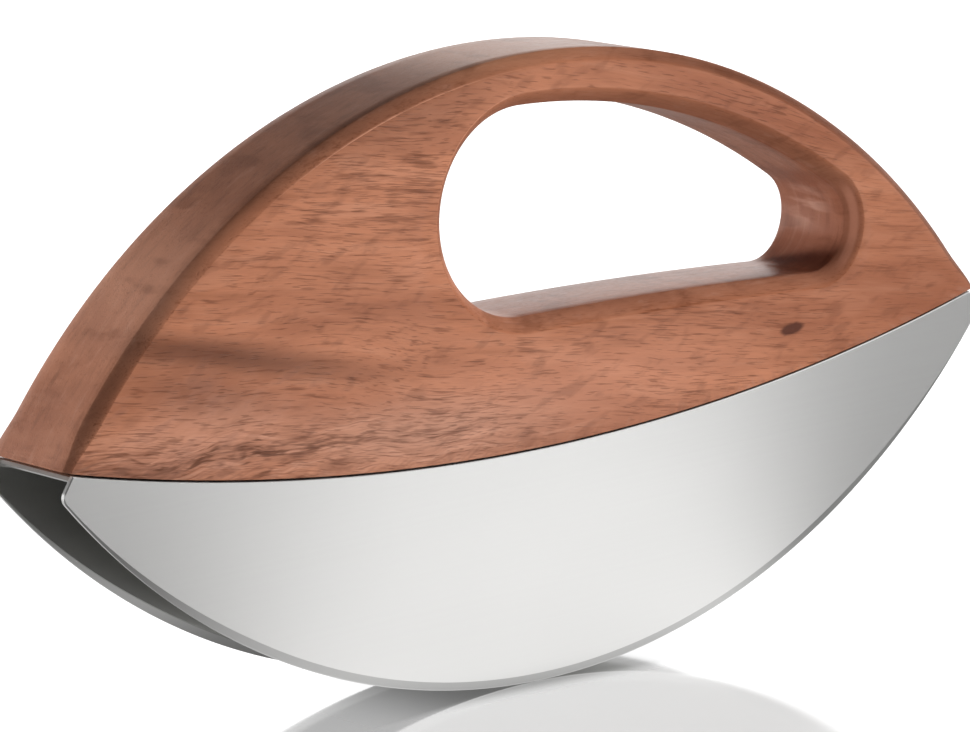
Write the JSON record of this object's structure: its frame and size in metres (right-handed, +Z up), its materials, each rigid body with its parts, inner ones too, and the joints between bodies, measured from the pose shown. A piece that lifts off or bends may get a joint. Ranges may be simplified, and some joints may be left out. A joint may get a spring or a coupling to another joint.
{
  "type": "double mezzaluna",
  "caption": "Double-bladed herb rocker: parallel crescent steel blades on a bridge plate, under an arched wooden handle with an off-centre grip opening.",
  "frame": {"origin": "on the ground midway between the two cutting edges, under the middle of the tool's length", "axes": "+X along the tool towards the narrow nose of the grip opening, +Y through its thickness from the front face to the rear, +Z up"},
  "size_m": [0.1908, 0.0194, 0.1002],
  "materials": {
    "wood": "oiled, satin, reddish brown, with short dark pores along the grain",
    "blade_steel": "satin, finely brushed, with a ground bevel along the cutting edge",
    "plate_steel": "satin",
    "screw_steel": "plain bright steel"
  },
  "bodies": {
    "root": {"handle": "wood", "front_blade": "blade_steel", "rear_blade": "blade_steel", "bridge_plate": "plate_steel", "screw_1": "screw_steel", "screw_2": "screw_steel", "screw_3": "screw_steel", "screw_4": "screw_steel"}
  },
  "joints": []
}
